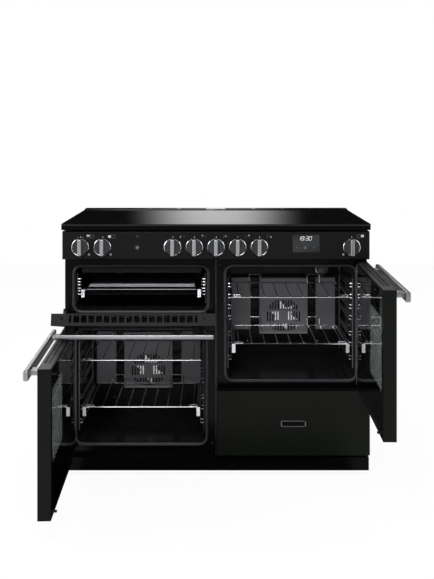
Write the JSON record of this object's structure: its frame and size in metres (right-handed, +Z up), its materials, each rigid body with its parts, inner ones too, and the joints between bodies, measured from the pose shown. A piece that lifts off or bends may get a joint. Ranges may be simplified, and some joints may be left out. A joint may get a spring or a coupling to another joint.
{
  "type": "range cooker",
  "caption": "Freestanding electric range cooker: tall fan ovens with side-opening doors, a drop-down grill, a drawer, and an induction hob over a row of knobs.",
  "frame": {"origin": "on the floor, in the middle of the width, in the plane of the two oven front sheets; also the middle of the bottom of the rest pose's box within 2 mm", "axes": "+X to the right seen from the front, +Y to the back, +Z up"},
  "size_m": [1.1766, 1.1138, 0.908],
  "materials": {
    "black_enamel": "gloss",
    "front_enamel": "gloss",
    "oven_enamel": "satin, fine speckle",
    "grey_enamel": "satin",
    "door_enamel": "satin",
    "grill_door_enamel": "satin",
    "panel_enamel": "satin",
    "galvanised_steel": "zinc coated",
    "stainless_steel": "satin",
    "satin_handle": "brushed along the bar",
    "chrome_wire": "polished",
    "zinc_runner": "bright zinc",
    "chrome_ring": "polished",
    "satin_knob": "satin chrome",
    "fan_aluminium": "rolled",
    "seal_rubber": "matt",
    "hob_ceramic": "polished black glass ceramic",
    "vent_trim": "matt black",
    "door_pane": "tinted",
    "display_glass": "polished",
    "lamp_lens": "ribbed",
    "signal_lens": "translucent",
    "grey_plastic": "moulded",
    "black_plastic": "moulded",
    "coil_copper": "wound copper wire"
  },
  "bodies": {
    "root": {"base_frame": "galvanised_steel", "levelling_feet": "black_plastic", "plinth": "black_enamel", "side_panels": "black_enamel", "back_panel": "galvanised_steel", "left_front_frame": "front_enamel", "right_front_frame": "front_enamel", "grill_liner": "oven_enamel", "left_oven_liner": "oven_enamel", "right_oven_liner": "oven_enamel", "door_seals": "seal_rubber", "fan_covers": "grey_enamel", "fan_motors": "galvanised_steel", "heating_elements": "stainless_steel", "side_racks": "chrome_wire", "fixed_runners": "zinc_runner", "oven_lamps": "lamp_lens", "hob_tray": "black_enamel", "hob_glass": "hob_ceramic", "rear_vent_trim": "vent_trim", "induction_coils": "coil_copper", "control_panel": "panel_enamel", "clock_display": "display_glass", "indicator_lamps": "signal_lens", "knob_rings": "chrome_ring", "control_switches": "grey_plastic", "door_hinges": "galvanised_steel", "door_catches": "galvanised_steel", "drawer_runners": "zinc_runner", "terminal_box": "grey_plastic"},
    "left_door": {"left_door_shell": "door_enamel", "left_door_glass": "door_pane", "left_door_handle": "satin_handle"},
    "right_door": {"right_door_shell": "door_enamel", "right_door_glass": "door_pane", "right_door_handle": "satin_handle"},
    "grill_door": {"grill_door_shell": "grill_door_enamel", "grill_door_glass": "door_pane", "grill_door_handle": "satin_handle"},
    "drawer": {"drawer_front": "door_enamel", "drawer_box": "galvanised_steel", "badge_plate": "stainless_steel"},
    "left_upper_rack": {"left_upper_shelf": "chrome_wire"},
    "left_lower_rack": {"left_lower_shelf": "chrome_wire"},
    "right_upper_rack": {"right_upper_shelf": "chrome_wire"},
    "right_lower_rack": {"right_lower_shelf": "chrome_wire"},
    "grill_tray": {"grill_carriage": "chrome_wire", "grill_pan": "oven_enamel", "grill_trivet": "chrome_wire"},
    "grill_knob": {"knob_grill": "satin_knob"},
    "left_oven_knob": {"knob_left_oven": "satin_knob"},
    "zone_1_knob": {"knob_zone_1": "satin_knob"},
    "zone_2_knob": {"knob_zone_2": "satin_knob"},
    "zone_3_knob": {"knob_zone_3": "satin_knob"},
    "zone_4_knob": {"knob_zone_4": "satin_knob"},
    "zone_5_knob": {"knob_zone_5": "satin_knob"},
    "right_oven_knob": {"knob_right_oven": "satin_knob"},
    "lamp_button": {"light_button": "satin_knob"},
    "left_fan_rotor": {"left_fan": "fan_aluminium"},
    "right_fan_rotor": {"right_fan": "fan_aluminium"}
  },
  "joints": [
    {"name": "left_door_hinge", "type": "hinge", "parent": "root", "child": "left_door", "pos_m": [-0.526, -0.034, 0.306], "axis": [0, 0, -1], "range_deg": [-88.3, 6]},
    {"name": "right_door_hinge", "type": "hinge", "parent": "root", "child": "right_door", "pos_m": [0.526, -0.034, 0.54], "axis": [0, 0, 1], "range_deg": [-89, 6]},
    {"name": "grill_door_hinge", "type": "hinge", "parent": "root", "child": "grill_door", "pos_m": [-0.275, -0.044, 0.5445], "axis": [1, 0, 0], "range_deg": [-76, 0]},
    {"name": "drawer_slide", "type": "slide", "parent": "root", "child": "drawer", "axis": [0, -1, 0], "range_m": [0, 0.4]},
    {"name": "left_upper_shelf_slide", "type": "slide", "parent": "root", "child": "left_upper_rack", "axis": [0, -1, 0], "range_m": [0, 0.2]},
    {"name": "left_lower_shelf_slide", "type": "slide", "parent": "root", "child": "left_lower_rack", "axis": [0, -1, 0], "range_m": [0, 0.26]},
    {"name": "right_upper_shelf_slide", "type": "slide", "parent": "root", "child": "right_upper_rack", "axis": [0, -1, 0], "range_m": [0, 0.2]},
    {"name": "right_lower_shelf_slide", "type": "slide", "parent": "root", "child": "right_lower_rack", "axis": [0, -1, 0], "range_m": [0, 0.26]},
    {"name": "grill_tray_slide", "type": "slide", "parent": "root", "child": "grill_tray", "axis": [0, -1, 0], "range_m": [0, 0.26]},
    {"name": "grill_knob_turn", "type": "hinge", "parent": "root", "child": "grill_knob", "pos_m": [-0.482, -0.055, 0.8226], "axis": [0, 1, 0], "range_deg": [-140, 140]},
    {"name": "left_oven_knob_turn", "type": "hinge", "parent": "root", "child": "left_oven_knob", "pos_m": [-0.4035, -0.055, 0.8226], "axis": [0, 1, 0], "range_deg": [0, 300]},
    {"name": "zone_1_knob_turn", "type": "hinge", "parent": "root", "child": "zone_1_knob", "pos_m": [-0.154, -0.055, 0.8226], "axis": [0, 1, 0], "range_deg": [0, 300]},
    {"name": "zone_2_knob_turn", "type": "hinge", "parent": "root", "child": "zone_2_knob", "pos_m": [-0.077, -0.055, 0.8226], "axis": [0, 1, 0], "range_deg": [0, 300]},
    {"name": "zone_3_knob_turn", "type": "hinge", "parent": "root", "child": "zone_3_knob", "pos_m": [0, -0.055, 0.8226], "axis": [0, 1, 0], "range_deg": [0, 300]},
    {"name": "zone_4_knob_turn", "type": "hinge", "parent": "root", "child": "zone_4_knob", "pos_m": [0.077, -0.055, 0.8226], "axis": [0, 1, 0], "range_deg": [0, 300]},
    {"name": "zone_5_knob_turn", "type": "hinge", "parent": "root", "child": "zone_5_knob", "pos_m": [0.154, -0.055, 0.8226], "axis": [0, 1, 0], "range_deg": [0, 300]},
    {"name": "right_oven_knob_turn", "type": "hinge", "parent": "root", "child": "right_oven_knob", "pos_m": [0.482, -0.055, 0.8226], "axis": [0, 1, 0], "range_deg": [0, 300]},
    {"name": "lamp_button_press", "type": "slide", "parent": "root", "child": "lamp_button", "axis": [0, 1, 0], "range_m": [0, 0.003], "stiffness_N_per_m": 400, "springref_m": -0.001},
    {"name": "left_fan_spin", "type": "hinge", "parent": "root", "child": "left_fan_rotor", "pos_m": [-0.27, 0.35, 0.281], "axis": [0, 1, 0], "continuous": true},
    {"name": "right_fan_spin", "type": "hinge", "parent": "root", "child": "right_fan_rotor", "pos_m": [0.27, 0.35, 0.497], "axis": [0, 1, 0], "continuous": true}
  ]
}
